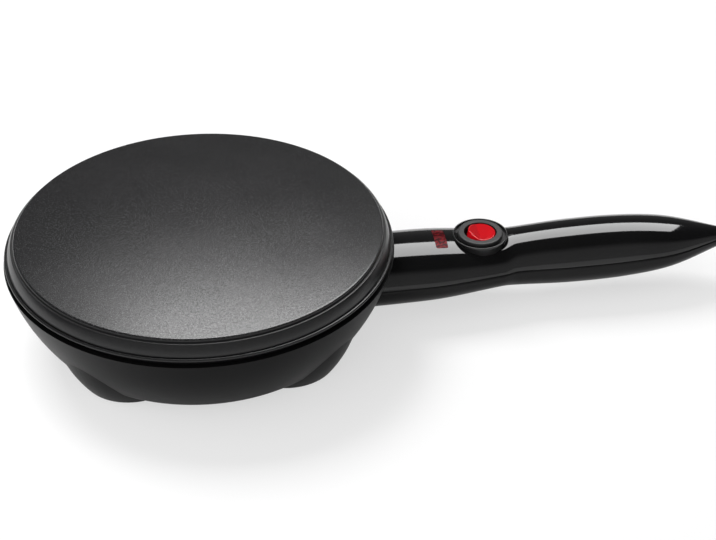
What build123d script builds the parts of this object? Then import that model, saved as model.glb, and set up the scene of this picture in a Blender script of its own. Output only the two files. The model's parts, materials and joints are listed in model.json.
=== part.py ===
"""Electric crepe maker: a domed cooking plate on a shallow moulded bowl, with a hollow handle."""
import os
from math import cos, degrees, pi, radians, sin, sqrt, tan

from build123d import *

os.makedirs("parts", exist_ok=True)

# ---------------------------------------------------------------- driving dimensions (mm)
# Heights are measured from the table, reaches from the plate's axis, runs along the handle from
# the bowl's rim, and insets inwards from the line that they name.

# Body line
body_radius = 100.4          # bowl rim, the widest line
bead_inset = 0.5             # the collar's bead stays inside it
shadow_gap = 2.6             # dark gap between collar and bowl
collar_thickness = 1.7       # height of the bead
skirt_wall = 2.2
skirt_depth = 5.2            # the collar's skirt below its flange
fit_gap = 0.3                # loose clearance between neighbours

# Cooking plate, one aluminium casting
surface_height = 60.0        # the cooking surface's edge above the table
rim_inset = 1.5              # the rim's foot stays inside the collar's bead
dome_rise = 4.0              # the middle stands this much above the edge
plate_skin = 3.0             # casting thickness at the middle and the edge
edge_roll = 1.2              # the surface's edge rolls over into a step
step_width = 1.2             # from the roll to the rim's shoulder
step_drop = 0.8
shoulder_width = 1.3         # chamfered shoulder on top of the rim wall
rim_flare = 1.2              # the rim wall leans out by this
rim_drop = 8.2               # foot of the rim below the cooking surface's edge
rim_wall = 2.4

# Bowl, one moulding with four lobed feet
bowl_curve_excess = 3.1      # the wall is part of a sphere this much larger than the rim
bowl_wall = 2.6
bowl_floor_height = 6.6      # bowl floor above the table, between the feet
bowl_corner_radius = 13.0
lobe_count = 4
lobe_axis_inset = 44.4       # each lobe's own axis, inside the rim
lobe_foot_radius = 25.7      # at the foot
lobe_mid_radius = 35.7
lobe_mid_height = 22.5
lobe_top_radius = 39.4
lobe_top_drop = 4.0          # top of the lobe below the bowl's rim
lobe_foot_height = 2.0       # bottom of the lobe above the table
ledge_height = 2.5           # ring inside the rim that carries the collar

# Vents in the bowl's floor
vent_reach = 26.0
vents_per_gap = 3
vent_spacing = 7.0
vent_length = 18.0
vent_width = 3.0

# Screws that hold plate, heat shield and bowl together, one up through each foot
clamp_screw_offset = 6.0     # outwards from the lobe's axis
clamp_screw_radius = 1.9
clamp_head_radius = 3.6
clamp_head_height = 2.6
clamp_screw_engagement = 9.0
plate_boss_radius = 5.0
tower_radius = 5.8
tower_shoulder = 5.0         # material above the screw head
screw_clearance = 0.3
shield_thickness = 0.6
boss_drop = 16.0             # plate boss end below the cooking surface's edge

# Rubber pads pressed into the feet, over the screws
pad_radius = 9.5
pad_inset = 1.2              # how deep the pad sits in the foot
pad_dish_radius = 5.0

# Heating
element_inset = 19.5         # inside the cooking surface's edge
element_tube_radius = 3.25   # across the corners, the tube is pressed eight-sided
element_drop = 8.0           # tube axis below the cooking surface's edge
element_gap_angle = 24.0     # open part of the loop, towards the handle
element_leg = 14.0
terminal_pin_radius = 1.2
terminal_pin_length = 8.0
terminal_bead_length = 2.0
rib_width = 11.0
groove_gap = 0.05
shield_inset = 3.5           # inside the cooking surface's edge
leg_clearance = 2.0          # round the element's legs in the shield
shield_lip = 4.0
shield_hole_radius = 24.0
thermostat_radius = 7.6
thermostat_cap_radius = 8.8
thermostat_cap_height = 2.4
thermostat_body_height = 8.0
thermostat_boss_radius = 16.0
thermostat_boss_drop = 3.0   # boss face below the cooking surface's edge
bracket_thickness = 0.8
bracket_ear_reach = 12.4
small_screw_radius = 1.4
small_head_radius = 2.7
small_head_height = 1.8
small_screw_depth = 2.5      # holes in the thermostat's boss
fuse_reach = 40.0
fuse_radius = 2.2
fuse_length = 12.0
clip_thickness = 0.8
clip_width = 7.0
clip_foot = 6.5
tab_width = 6.3
tab_thickness = 0.8

# Handle, two shells that meet on a near-level seam
handle_run = 182.1           # to the very end
handle_wall = 2.4
axis_height = 24.8           # handle axis above the table at the root
axis_slope = 0.0163          # it climbs slightly towards the end
root_run = 1.6
root_half_width = 23.6
root_half_height = 17.1
neck_run = 25.6
neck_half_width = 23.2
neck_half_height = 16.3
ridge_run = 57.6             # the neck ends in a soft ridge beside the switch
ridge_half_width = 19.3
ridge_half_height = 13.4
waist_run = 65.6
waist_half_width = 17.4
waist_half_height = 14.7
palm_run = 95.6
palm_half_width = 18.3
palm_half_height = 16.4
heel_run = 125.6
heel_half_width = 18.0
heel_half_height = 16.0
tail_run = 151.6
tail_half_width = 15.5
tail_half_height = 12.7
tip_radius = 4.9
seam_gap = 0.25
butt_wall = 3.0              # end wall that sits on the bowl
spigot_inset = 2.8           # sleeve inside the bowl's opening
spigot_wall = 2.2
spigot_depth = 6.0           # sleeve beyond the bowl's inner wall
tongue_length = 16.0         # strip over the bowl's floor
tongue_width = 25.0
tongue_height = 7.5          # top of the strip above the bowl's floor
opening_gap = 0.1
seam_rise = 1.2              # seam above the handle's axis

# Switch
switch_run = 47.4
pedestal_radius = 14.5
pedestal_foot_radius = 10.6  # where its cone meets the handle's axis
pedestal_height = 42.0       # pedestal lip above the table
lip_width = 0.8
deck_drop = 1.6              # deck below the lip
bezel_radius = 11.9
bezel_proud = 1.1            # bezel top above the pedestal lip
well_radius = 8.65
switch_body_radius = 9.75
switch_body_depth = 16.5     # below the deck
rocker_drop = 4.9            # rocker pivot below the bezel's top
rocker_throw = 20.0          # full travel in degrees
rocker_half_length = 7.2
rocker_half_width = 8.1
rocker_top = 4.5             # valley above the pivot
rocker_skirt = 3.4
valley_offset = 1.8          # valley sits towards the plate
pivot_pin_radius = 1.5
pivot_fit = 0.05
plunger_radius = 1.4
plunger_bore_radius = 1.6
plunger_length = 6.0
plunger_gap = 0.1             # to the lever, at the middle of the travel
plunger_guide_drop = 5.0      # the rocker's guide below its pivot
spring_wire = 0.4
spring_turns = 3
lever_throw = 12.0
lever_drop = 8.9             # lever pivot below the rocker's pivot
lever_half_length = 5.6
lever_width = 4.4
lever_thickness = 0.5
lever_bead_radius = 0.6      # rolled across the lever, it rocks on the knife edge
contact_radius = 1.1
contact_height = 0.5
contact_gap = 0.12
contact_reach = 4.6          # contacts either side of the lever's pivot
housing_floor = 1.5
tab_drop = 6.0               # tabs below the housing
wing_reach = 0.8
wing_height = 4.0

# Indicator lamp
lamp_run = 25.6
window_length = 17.0         # across the handle
window_width = 6.4           # along the handle
lens_gap = 0.1
holder_wall = 1.4
neon_radius = 2.1
neon_length = 12.0
holder_height = 8.0          # holder floor below the handle's crown, inside

# Cord inlet at the handle's end
cord_bore_radius = 3.1
bush_radius = 3.9
bush_flange_radius = 4.6
bush_flange_thickness = 1.5
bush_length = 12.0

# Handle screws
handle_screw_runs = (11.6, 77.6, 139.6)
pillar_radius = 3.7
handle_screw_radius = 1.3
handle_head_radius = 2.6
handle_head_height = 2.0
handle_screw_length = 12.0
root_screw_inset = 29.4      # inside the bowl's rim
root_screw_offset = 8.0
root_pillar_radius = 3.2
root_pillar_height = 13.0    # above the bowl's floor
root_screw_length = 10.5

# Terminal block and wiring
block_run = 107.6
block_length = 16.0
block_width = 17.0
block_height = 8.0
block_floor = 16.2           # underside above the table
block_rib = 1.6
block_rib_spacing = 8.0
wire_radius = 1.1
wire_tab_drop = 2.4          # wires in the bowl pass this far below the element's tabs

# ---------------------------------------------------------------- derived places
plate_x = -handle_run / 2
rim_x = plate_x + body_radius
plate_axis = Axis((plate_x, 0, 0), (0, 0, 1))
section_plane = Plane(origin=(plate_x, 0, 0), x_dir=(1, 0, 0), z_dir=(0, -1, 0))

bead_radius = body_radius - bead_inset
rim_radius = bead_radius - rim_inset
shoulder_radius = rim_radius - rim_flare
step_radius = shoulder_radius - shoulder_width
surface_radius = step_radius - step_width - edge_roll
surface_top = surface_height + dome_rise
dome_curve_radius = (surface_radius**2 + dome_rise**2) / (2 * dome_rise)
collar_top = surface_height - rim_drop
collar_underside = collar_top - collar_thickness
bowl_rim_height = collar_underside - shadow_gap
skirt_radius = body_radius - bowl_wall - 4 * fit_gap
ledge_top = collar_underside - skirt_depth
bowl_curve_radius = body_radius + bowl_curve_excess
bowl_centre_height = bowl_rim_height + sqrt(bowl_curve_radius**2 - body_radius**2)
boss_end = surface_height - boss_drop
shield_bottom = boss_end - shield_thickness
shield_radius = surface_radius - shield_inset
element_reach = surface_radius - element_inset
element_height = surface_height - element_drop
thermostat_top = surface_height - thermostat_boss_drop
lobe_reach = body_radius - lobe_axis_inset
lobe_top_height = bowl_rim_height - lobe_top_drop
clamp_screw_reach = lobe_reach + clamp_screw_offset
foot_angles = [45 + 360 * n / lobe_count for n in range(lobe_count)]


def foot_places():
    """The four feet's screw axes, about the plate's axis."""
    return PolarLocations(clamp_screw_reach, lobe_count, start_angle=45)


def root_screw_places():
    """The two screws that hold the handle to the bowl's floor."""
    return GridLocations(0, 2 * root_screw_offset, 1, 2)


def axis_z(run):
    """Height of the handle's axis at a run from the bowl's rim."""
    return axis_height + (run - root_run) * axis_slope


def bowl_radius_at(height, inset=0.0):
    """Radius of the bowl's wall at a height above the table."""
    return sqrt((bowl_curve_radius - inset) ** 2 - (bowl_centre_height - height) ** 2)


def save(piece, name):
    """Label a finished piece and write it to its own STEP file."""
    piece.label = name
    export_step(piece, f"parts/{name}.step")


# ---------------------------------------------------------------- baking plate
with BuildPart() as baking_plate:
    with BuildSketch(section_plane):
        with BuildLine():
            edge_point = (surface_radius, surface_height)
            roll_foot = surface_height - edge_roll
            step_foot = roll_foot - step_drop
            RadiusArc((0, surface_top), edge_point, dome_curve_radius)
            RadiusArc(edge_point, (surface_radius + edge_roll, roll_foot), edge_roll)
            Polyline(
                (surface_radius + edge_roll, roll_foot),
                (surface_radius + edge_roll, step_foot + step_drop / 2),
                (step_radius, step_foot),
                (shoulder_radius, step_foot - shoulder_width),
                (rim_radius, collar_top),
                (rim_radius - rim_wall, collar_top),
                (surface_radius - plate_skin / 2, surface_height - plate_skin),
                (0, surface_top - plate_skin),
                (0, surface_top),
            )
        make_face()
    revolve(axis=plate_axis)

    # The rib that holds the element, the thermostat's boss and the clamp screws' bosses
    with BuildSketch(Plane((plate_x, 0, element_height))):
        Circle(element_reach + rib_width / 2)
        Circle(element_reach - rib_width / 2, mode=Mode.SUBTRACT)
    extrude(until=Until.NEXT)
    with BuildSketch(Plane((plate_x, 0, thermostat_top))):
        Circle(thermostat_boss_radius)
    extrude(until=Until.NEXT)
    with BuildSketch(Plane((plate_x, 0, boss_end))):
        with foot_places():
            Circle(plate_boss_radius)
    extrude(until=Until.NEXT)
    with BuildSketch(Plane((plate_x - fuse_reach, 0, thermostat_top))):
        Rectangle(2 * (fuse_radius + clip_foot + 1), fuse_length)
    extrude(until=Until.NEXT)

    # The groove for the element's tube, and the holes for the screws
    with BuildSketch(section_plane):
        with Locations((element_reach, element_height)):
            RegularPolygon(element_tube_radius + groove_gap, 8, rotation=22.5)
    revolve(axis=plate_axis, mode=Mode.SUBTRACT)
    with Locations(Plane((plate_x, 0, boss_end), z_dir=(0, 0, -1))):
        with foot_places():
            Hole(clamp_screw_radius, clamp_screw_engagement + 1)
    with Locations(Plane((plate_x, 0, thermostat_top), z_dir=(0, 0, -1))):
        with Locations((bracket_ear_reach, 0), (-bracket_ear_reach, 0)):
            Hole(small_screw_radius, small_screw_depth)
save(baking_plate.part, "baking_plate")

# ---------------------------------------------------------------- collar ring
with BuildPart() as collar_ring:
    bead = collar_thickness / 2
    with BuildSketch(section_plane):
        with BuildLine():
            bead_start = (bead_radius - bead, collar_top)
            bead_end = (bead_radius - bead, collar_underside)
            Line((skirt_radius - skirt_wall, collar_top), bead_start)
            ThreePointArc(bead_start, (bead_radius, collar_top - bead), bead_end)
            Polyline(
                bead_end,
                (skirt_radius, collar_underside),
                (skirt_radius, ledge_top),
                (skirt_radius - skirt_wall, ledge_top),
                (skirt_radius - skirt_wall, collar_top),
            )
        make_face()
    revolve(axis=plate_axis)
    # Fine groove between the plate's rim and the bead
    with BuildSketch(Plane((plate_x, 0, collar_top - 0.8))):
        Circle(rim_radius + 0.5)
        Circle(rim_radius - 0.2, mode=Mode.SUBTRACT)
    extrude(amount=0.8, mode=Mode.SUBTRACT)
save(collar_ring.part, "collar_ring")

# ---------------------------------------------------------------- heating element
half_gap = radians(element_gap_angle / 2)
leg_x = element_reach * cos(half_gap)
leg_y = element_reach * sin(half_gap)
leg_end = element_height - element_leg
loop_angle = half_gap - element_tube_radius / element_reach
loop_start_plane = Plane(
    origin=(plate_x, 0, 0),
    x_dir=(cos(loop_angle), sin(loop_angle), 0),
    z_dir=(sin(loop_angle), -cos(loop_angle), 0),
)
with BuildPart() as heating_element:
    with BuildSketch(loop_start_plane):
        with Locations((element_reach, element_height)):
            RegularPolygon(element_tube_radius, 8, rotation=22.5)
    revolve(axis=plate_axis, revolution_arc=360 - 2 * degrees(loop_angle))
    # Legs bent down into the handle's side of the bowl
    for side in (-1, 1):
        with BuildSketch(Plane((plate_x + leg_x, side * leg_y, leg_end))):
            RegularPolygon(element_tube_radius, 8, rotation=22.5)
        extrude(amount=element_leg)
save(heating_element.part, "heating_element")

# Pins with flat tabs that stand out of ceramic beads at the element's cold ends
with BuildPart() as element_terminals:
    for side in (-1, 1):
        end_plane = Plane((plate_x + leg_x, side * leg_y, leg_end), z_dir=(0, 0, -1))
        with BuildSketch(end_plane):
            Circle(element_tube_radius - 0.4)
        extrude(amount=terminal_bead_length, taper=20)
        with BuildSketch(end_plane.offset(terminal_bead_length)):
            Circle(terminal_pin_radius)
        extrude(amount=terminal_pin_length / 2)
        with BuildSketch(end_plane.offset((terminal_bead_length + terminal_pin_length) / 2)):
            Rectangle(tab_thickness, tab_width)
        extrude(amount=terminal_pin_length)
save(element_terminals.part, "element_terminals")

# ---------------------------------------------------------------- heat shield
with BuildPart() as heat_shield:
    with BuildSketch(Plane((plate_x, 0, shield_bottom))):
        Circle(shield_radius)
    extrude(amount=shield_thickness)
    with BuildSketch(Plane((plate_x, 0, shield_bottom))):
        Circle(shield_radius)
        Circle(shield_radius - shield_thickness, mode=Mode.SUBTRACT)
    extrude(amount=shield_lip)
    with BuildSketch(Plane((plate_x, 0, shield_bottom))):
        Circle(shield_hole_radius)
        with foot_places():
            Circle(clamp_screw_radius + screw_clearance)
        with Locations((leg_x, leg_y), (leg_x, -leg_y)):
            Circle(element_tube_radius + leg_clearance)
        with Locations((-fuse_reach, 0)):
            Circle(fuse_length / 2 + 1)
    extrude(amount=shield_thickness, mode=Mode.SUBTRACT)
save(heat_shield.part, "heat_shield")

# ---------------------------------------------------------------- thermostat on the plate
cap_bottom = thermostat_top - thermostat_cap_height
with BuildPart() as thermostat:
    with BuildSketch(Plane((plate_x, 0, cap_bottom))):
        Circle(thermostat_cap_radius)
    extrude(amount=thermostat_cap_height)
    with BuildSketch(Plane((plate_x, 0, cap_bottom - thermostat_body_height))):
        Circle(thermostat_radius)
    extrude(amount=thermostat_body_height)
    with BuildSketch(Plane((plate_x, 0, cap_bottom - thermostat_body_height), z_dir=(0, 0, -1))):
        with Locations((0, thermostat_radius / 2), (0, -thermostat_radius / 2)):
            Rectangle(tab_width, tab_thickness)
    extrude(amount=terminal_pin_length)
save(thermostat.part, "thermostat")

# The bracket's ring presses the cap up, its raised ears are screwed to the plate's boss
with BuildPart() as thermostat_bracket:
    bracket_bottom = cap_bottom - bracket_thickness
    with BuildSketch(Plane((plate_x, 0, bracket_bottom))):
        SlotCenterToCenter(2 * bracket_ear_reach, 2 * (small_head_radius + 0.6))
        Circle(thermostat_cap_radius + 1)
        Circle(thermostat_radius + fit_gap / 3, mode=Mode.SUBTRACT)
        with Locations((bracket_ear_reach, 0), (-bracket_ear_reach, 0)):
            Circle(small_screw_radius + 0.2, mode=Mode.SUBTRACT)
    extrude(amount=bracket_thickness)
    # Spacer collars between the ears and the boss
    with BuildSketch(Plane((plate_x, 0, cap_bottom))):
        with Locations((bracket_ear_reach, 0), (-bracket_ear_reach, 0)):
            Circle(small_head_radius)
            Circle(small_screw_radius + 0.2, mode=Mode.SUBTRACT)
    extrude(amount=thermostat_cap_height)
save(thermostat_bracket.part, "thermostat_bracket")

with BuildPart() as bracket_screws:
    for side in (-1, 1):
        ear_x = plate_x + side * bracket_ear_reach
        with BuildSketch(Plane((ear_x, 0, bracket_bottom - small_head_height))):
            Circle(small_head_radius)
        extrude(amount=small_head_height)
        with BuildSketch(Plane((ear_x, 0, bracket_bottom))):
            Circle(small_screw_radius)
        extrude(amount=thermostat_top + 2 - bracket_bottom)
save(bracket_screws.part, "bracket_screws")

# ---------------------------------------------------------------- thermal fuse and its clip
fuse_x = plate_x - fuse_reach
fuse_height = thermostat_top - clip_thickness / 2 - fuse_radius
with BuildPart() as thermal_fuse:
    with BuildSketch(Plane((fuse_x, 0, fuse_height), x_dir=(1, 0, 0), z_dir=(0, -1, 0))):
        Circle(fuse_radius)
    extrude(amount=fuse_length / 2, both=True)
    with BuildSketch(Plane((fuse_x, 0, fuse_height), x_dir=(1, 0, 0), z_dir=(0, -1, 0))):
        Circle(fuse_radius / 4)
    extrude(amount=fuse_length, both=True)
save(thermal_fuse.part, "thermal_fuse")

with BuildPart() as fuse_clip:
    clip_radius = fuse_radius + 0.1
    with BuildSketch(Plane((fuse_x, 0, 0), x_dir=(1, 0, 0), z_dir=(0, -1, 0))):
        with Locations((0, thermostat_top - clip_thickness / 2)):
            Rectangle(2 * (clip_radius + clip_foot), clip_thickness)
        with Locations((0, fuse_height)):
            Circle(clip_radius + clip_thickness)
            Circle(clip_radius, mode=Mode.SUBTRACT)
        with Locations((0, thermostat_top)):
            Rectangle(2 * clip_radius, 2 * clip_radius, mode=Mode.SUBTRACT)
            Rectangle(
                4 * clip_foot, 2 * clip_radius, align=(Align.CENTER, Align.MIN), mode=Mode.SUBTRACT
            )
    extrude(amount=clip_width / 2, both=True)
    with Locations(Plane((fuse_x, 0, thermostat_top), z_dir=(0, 0, -1))):
        with Locations((clip_radius + clip_foot / 2, 0), (-clip_radius - clip_foot / 2, 0)):
            Hole(small_screw_radius + 0.2, clip_thickness * 2)
save(fuse_clip.part, "fuse_clip")

# ---------------------------------------------------------------- bowl and handle forms


def bowl_form(inset=0.0):
    """The bowl with its four lobes as one solid, or the space inside it at an inset."""
    floor = bowl_floor_height + inset
    lobe_floor = lobe_foot_height + inset
    lobe_inset = inset * 1.15
    top = bowl_rim_height + (inset > 0)
    with BuildPart() as form:
        with BuildSketch(section_plane) as bowl_section:
            with BuildLine():
                rim_edge = (bowl_radius_at(top, inset), top)
                floor_edge = (bowl_radius_at(floor, inset), floor)
                RadiusArc(rim_edge, floor_edge, bowl_curve_radius - inset)
                Polyline(floor_edge, (0, floor), (0, top), rim_edge)
            make_face()
            floor_corner = bowl_section.vertices().sort_by(Axis.Y)[:2].sort_by(Axis.X)[-1]
            fillet(floor_corner, bowl_corner_radius - inset)
        revolve(axis=plate_axis)
        for angle in foot_angles:
            across = (cos(radians(angle)), sin(radians(angle)), 0)
            lobe_x = plate_x + lobe_reach * across[0]
            lobe_y = lobe_reach * across[1]
            lobe_plane = Plane((lobe_x, lobe_y, 0), x_dir=across, z_dir=(across[1], -across[0], 0))
            with BuildSketch(lobe_plane):
                with BuildLine():
                    foot_edge = (lobe_foot_radius - lobe_inset, lobe_floor)
                    top_edge = (lobe_top_radius - lobe_inset, lobe_top_height)
                    mid_point = (lobe_mid_radius - lobe_inset, lobe_mid_height)
                    ThreePointArc(foot_edge, mid_point, top_edge)
                    Polyline(foot_edge, (0, lobe_floor), (0, lobe_top_height), top_edge)
                make_face()
            revolve(axis=Axis((lobe_x, lobe_y, 0), (0, 0, 1)))
    return form.part


def blend(run, stations):
    """A smooth curve through (run, size) stations, read at one run."""
    count = len(stations)
    k = max(n for n in range(count - 1) if n == 0 or stations[n][0] <= run)
    (start, low), (end, high) = stations[k], stations[k + 1]
    before = stations[max(k - 1, 0)]
    after = stations[min(k + 2, count - 1)]
    span = end - start
    t = (run - start) / span
    slope_in = (high - before[1]) / (end - before[0]) * span
    slope_out = (after[1] - low) / (after[0] - start) * span
    return (
        low * (1 - t) ** 2 * (1 + 2 * t)
        + high * t**2 * (3 - 2 * t)
        + slope_in * t * (1 - t) ** 2
        - slope_out * t**2 * (1 - t)
    )


def handle_form(inset=0.0):
    """The handle's outer form as one solid from inside the bowl to its tip, or the space in it."""
    tip_run = handle_run - bush_flange_thickness
    inner_run = bowl_radius_at(bowl_floor_height) - tongue_length - body_radius
    widths = (
        (inner_run, root_half_width),
        (root_run, root_half_width),
        (neck_run, neck_half_width),
        (ridge_run, ridge_half_width),
        (waist_run, waist_half_width),
        (palm_run, palm_half_width),
        (heel_run, heel_half_width),
        (tail_run, tail_half_width),
        (tip_run, tip_radius),
    )
    heights = (
        (inner_run, root_half_height),
        (root_run, root_half_height),
        (neck_run, neck_half_height),
        (ridge_run, ridge_half_height),
        (waist_run, waist_half_height),
        (palm_run, palm_half_height),
        (heel_run, heel_half_height),
        (tail_run, tail_half_height),
        (tip_run, tip_radius),
    )
    last_run = tip_run - inset * 5
    count = 18
    with BuildPart() as form:
        for n in range(count + 1):
            run = inner_run + (last_run - inner_run) * n / count
            with BuildSketch(Plane((rim_x + run, 0, axis_z(run)), z_dir=(1, 0, 0))):
                Ellipse(blend(run, heights) - inset, blend(run, widths) - inset)
        loft(ruled=inset > 0)
    return form.part


def cord_hole(radius, start_run, end_run):
    """A round bar along the handle's end, on the axis at its tip."""
    height = axis_z(handle_run)
    with BuildPart() as bar:
        with BuildSketch(Plane((rim_x + start_run, 0, height), z_dir=(1, 0, 0))):
            Circle(radius)
        extrude(amount=end_run - start_run)
    return bar.part


# ---------------------------------------------------------------- base shell
outer_bowl = bowl_form()
tower_top = shield_bottom
root_plane = Plane((rim_x - root_screw_inset, 0, 0))
with BuildPart() as bowl_space:
    add(bowl_form(bowl_wall))
    # Left standing: the ledge under the collar, the screw towers and the handle's saddle bosses
    with BuildSketch(Plane((plate_x, 0, ledge_top - ledge_height))):
        Circle(body_radius)
        Circle(skirt_radius - skirt_wall - fit_gap, mode=Mode.SUBTRACT)
    extrude(amount=ledge_height, mode=Mode.SUBTRACT)
    with BuildSketch(Plane((plate_x, 0, lobe_foot_height))):
        with foot_places():
            Circle(tower_radius)
    extrude(amount=tower_top - lobe_foot_height, mode=Mode.SUBTRACT)
    with BuildSketch(root_plane.offset(bowl_floor_height)):
        with root_screw_places():
            Circle(root_pillar_radius + 1)
    extrude(amount=tongue_height, mode=Mode.SUBTRACT)

with BuildPart() as base_shell:
    add(outer_bowl)
    add(bowl_space.part, mode=Mode.SUBTRACT)
    add(handle_form(spigot_inset - opening_gap), mode=Mode.SUBTRACT)
    with BuildSketch(Plane((plate_x, 0, lobe_foot_height))):
        with foot_places():
            Circle(pad_radius)
    extrude(amount=pad_inset, mode=Mode.SUBTRACT)
    with Locations(Plane((plate_x, 0, lobe_foot_height), z_dir=(0, 0, -1))):
        with foot_places():
            CounterBoreHole(
                clamp_screw_radius + screw_clearance,
                clamp_head_radius + screw_clearance,
                tower_top - tower_shoulder - lobe_foot_height,
            )
    with Locations(Plane((rim_x - root_screw_inset, 0, bowl_floor_height), z_dir=(0, 0, -1))):
        with root_screw_places():
            CounterBoreHole(
                handle_screw_radius + screw_clearance,
                handle_head_radius + screw_clearance,
                handle_head_height,
                tongue_height,
            )
    # Vents in the floor, between the feet
    with BuildSketch(Plane((plate_x, 0, bowl_floor_height))):
        with PolarLocations(vent_reach, lobe_count):
            with GridLocations(0, vent_spacing, 1, vents_per_gap):
                Rectangle(vent_length, vent_width)
    extrude(amount=bowl_wall, mode=Mode.SUBTRACT)
save(base_shell.part, "base_shell")

with BuildPart() as foot_pads:
    with BuildSketch(Plane((plate_x, 0, 0))):
        with foot_places():
            Circle(pad_radius)
    extrude(amount=lobe_foot_height + pad_inset)
    with BuildSketch(Plane((plate_x, 0, 0))):
        with foot_places():
            Circle(pad_dish_radius)
    extrude(amount=pad_inset / 2, mode=Mode.SUBTRACT)
save(foot_pads.part, "foot_pads")

with BuildPart() as clamp_screws:
    head_top = tower_top - tower_shoulder
    with BuildSketch(Plane((plate_x, 0, head_top - clamp_head_height))):
        with foot_places():
            Circle(clamp_head_radius)
    extrude(amount=clamp_head_height)
    with BuildSketch(Plane((plate_x, 0, head_top))):
        with foot_places():
            Circle(clamp_screw_radius)
    extrude(amount=boss_end + clamp_screw_engagement - head_top)
save(clamp_screws.part, "clamp_screws")

# ---------------------------------------------------------------- handle shells
seam_tilt = 1 / sqrt(1 + axis_slope**2)
seam_plane = Plane(
    origin=(rim_x + root_run, 0, axis_height + seam_rise),
    x_dir=(seam_tilt, 0, axis_slope * seam_tilt),
    z_dir=(-axis_slope * seam_tilt, 0, seam_tilt),
)
switch_x = rim_x + switch_run
lamp_x = rim_x + lamp_run
deck_height = pedestal_height - deck_drop

with BuildPart() as bowl_room:
    add(bowl_form(bowl_wall + spigot_depth))
    with BuildSketch(Plane((plate_x, 0, 0))):
        Rectangle(body_radius, tongue_width, align=(Align.MIN, Align.CENTER))
    extrude(amount=bowl_floor_height + tongue_height, mode=Mode.SUBTRACT)
    with BuildSketch(root_plane.offset(bowl_floor_height)):
        with root_screw_places():
            Circle(root_pillar_radius)
    extrude(amount=root_pillar_height, mode=Mode.SUBTRACT)

with BuildPart() as spigot:
    add(handle_form(spigot_inset))
    add(bowl_room.part, mode=Mode.SUBTRACT)

with BuildPart() as handle_solid:
    add(handle_form())
    with BuildSketch(Plane((switch_x, 0, axis_height))):
        Circle(pedestal_foot_radius)
    with BuildSketch(Plane((switch_x, 0, pedestal_height))):
        Circle(pedestal_radius)
    loft()
    fillet(handle_solid.edges().filter_by(GeomType.CIRCLE).sort_by(Axis.Z)[-1], lip_width / 2)
    add(outer_bowl, mode=Mode.SUBTRACT)
    add(spigot.part)

with BuildPart() as handle_space:
    add(handle_form(handle_wall))
    add(bowl_form(-butt_wall), mode=Mode.SUBTRACT)
    add(handle_form(spigot_inset + spigot_wall))
    for run in handle_screw_runs:
        with BuildSketch(Plane((rim_x + run, 0, 0))):
            Circle(pillar_radius)
        extrude(amount=body_radius, mode=Mode.SUBTRACT)
    with BuildSketch(root_plane.offset(bowl_floor_height)):
        with root_screw_places():
            Circle(root_pillar_radius)
    extrude(amount=root_pillar_height, mode=Mode.SUBTRACT)
    # Ribs under the terminal block
    with BuildSketch(Plane((rim_x + block_run, 0, 0))):
        with GridLocations(block_rib_spacing, 0, 2, 1):
            Rectangle(block_rib, 2 * palm_half_width)
    extrude(amount=block_floor, mode=Mode.SUBTRACT)

with BuildPart() as seam_groove:
    with BuildSketch(seam_plane.offset(-seam_gap / 2)):
        Rectangle(3 * handle_run, body_radius)
    extrude(amount=seam_gap)
    add(handle_form(3 * seam_gap), mode=Mode.SUBTRACT)

bush_hole = cord_hole(bush_radius, handle_run - bush_flange_thickness - bush_length, handle_run)
with BuildPart() as handle_halves:
    add(handle_solid.part)
    add(handle_space.part, mode=Mode.SUBTRACT)
    add(seam_groove.part, mode=Mode.SUBTRACT)
    add(bush_hole, mode=Mode.SUBTRACT)

with BuildPart() as handle_upper_shell:
    add(handle_halves.part)
    split(bisect_by=seam_plane, keep=Keep.TOP)
    with BuildSketch(Plane((switch_x, 0, deck_height))):
        Circle(pedestal_radius - lip_width)
    extrude(amount=deck_drop, mode=Mode.SUBTRACT)
    with BuildSketch(Plane((switch_x, 0, axis_height))):
        Circle(switch_body_radius + fit_gap / 2)
    extrude(amount=deck_height - axis_height, mode=Mode.SUBTRACT)
    with BuildSketch(Plane((lamp_x, 0, axis_height))):
        RectangleRounded(window_width, window_length, window_width / 6)
    extrude(amount=body_radius, mode=Mode.SUBTRACT)
    for run in handle_screw_runs:
        with Locations(Plane((rim_x + run, 0, axis_z(run) + seam_rise), z_dir=(0, 0, -1))):
            Hole(handle_screw_radius, handle_screw_length * 0.6)
save(handle_upper_shell.part, "handle_upper_shell")

with BuildPart() as handle_lower_shell:
    add(handle_halves.part)
    split(bisect_by=seam_plane, keep=Keep.BOTTOM)
    for run in handle_screw_runs:
        head_height = axis_z(run) + seam_rise - handle_screw_length / 2
        with BuildSketch(Plane((rim_x + run, 0, head_height), z_dir=(0, 0, -1))):
            Circle(handle_head_radius + screw_clearance)
        extrude(amount=body_radius, mode=Mode.SUBTRACT)
        with BuildSketch(Plane((rim_x + run, 0, head_height))):
            Circle(handle_screw_radius + screw_clearance)
        extrude(amount=handle_screw_length, mode=Mode.SUBTRACT)
    with BuildSketch(root_plane.offset(bowl_floor_height)):
        with root_screw_places():
            Circle(handle_screw_radius)
    extrude(amount=root_screw_length + 1.5, mode=Mode.SUBTRACT)
save(handle_lower_shell.part, "handle_lower_shell")


# ---------------------------------------------------------------- switch
bezel_top = pedestal_height + bezel_proud
pivot_height = bezel_top - rocker_drop
lever_height = pivot_height - lever_drop
housing_bottom = deck_height - switch_body_depth
contact_drop = contact_reach * sin(radians(lever_throw / 2))
contact_top = lever_height - contact_drop - lever_thickness / 2 - contact_height - contact_gap
switch_section = Plane(origin=(switch_x, 0, 0), x_dir=(1, 0, 0), z_dir=(0, -1, 0))

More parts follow.
